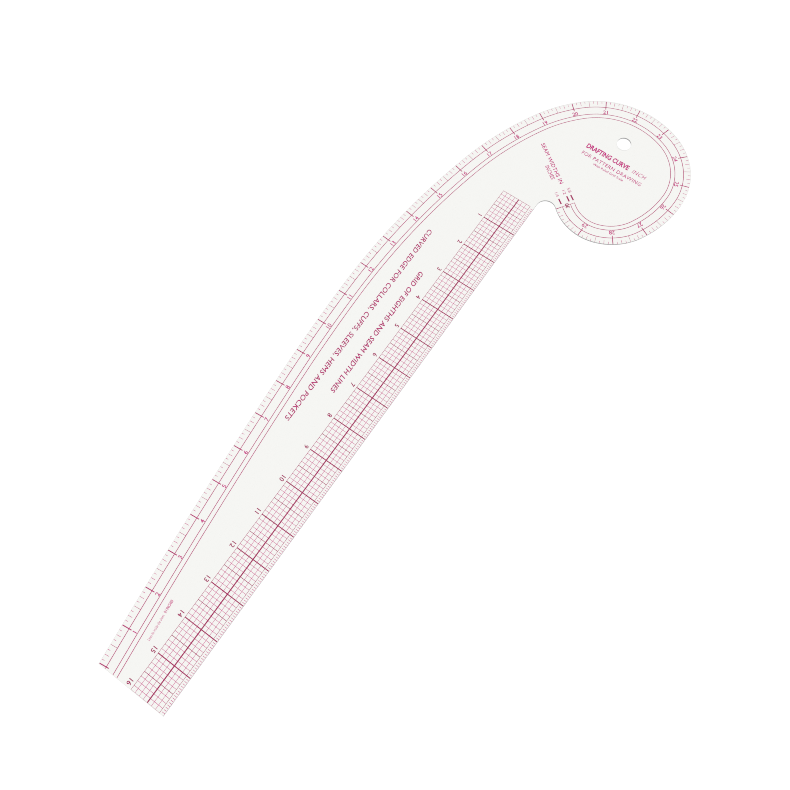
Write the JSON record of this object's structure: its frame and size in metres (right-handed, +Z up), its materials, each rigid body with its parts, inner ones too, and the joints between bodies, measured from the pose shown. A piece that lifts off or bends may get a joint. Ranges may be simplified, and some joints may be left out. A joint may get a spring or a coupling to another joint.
{
  "type": "french curve",
  "caption": "Flat clear plastic french curve for pattern drafting, with a straight ruled scale, a curved scale with seam allowance lines and a hanging hole.",
  "frame": {"origin": "under the middle of the sheet's bounding box, on the surface that it lies on", "axes": "+X along the straight scale towards its square end, +Y away from the curved side, +Z up out of the readable face"},
  "size_m": [0.5186, 0.1602, 0.0012],
  "materials": {
    "clear_sheet": "clear flexible vinyl sheet, smooth and glossy, with cut edges",
    "print_ink": "crimson printed ink sealed between the sheets"
  },
  "bodies": {
    "root": {"base_sheet": "clear_sheet", "cover_sheet": "clear_sheet", "curve_scale_print": "print_ink", "straight_scale_print": "print_ink", "narrow_seam_bar": "print_ink", "middle_seam_bar": "print_ink", "wide_seam_bar": "print_ink"}
  },
  "joints": []
}
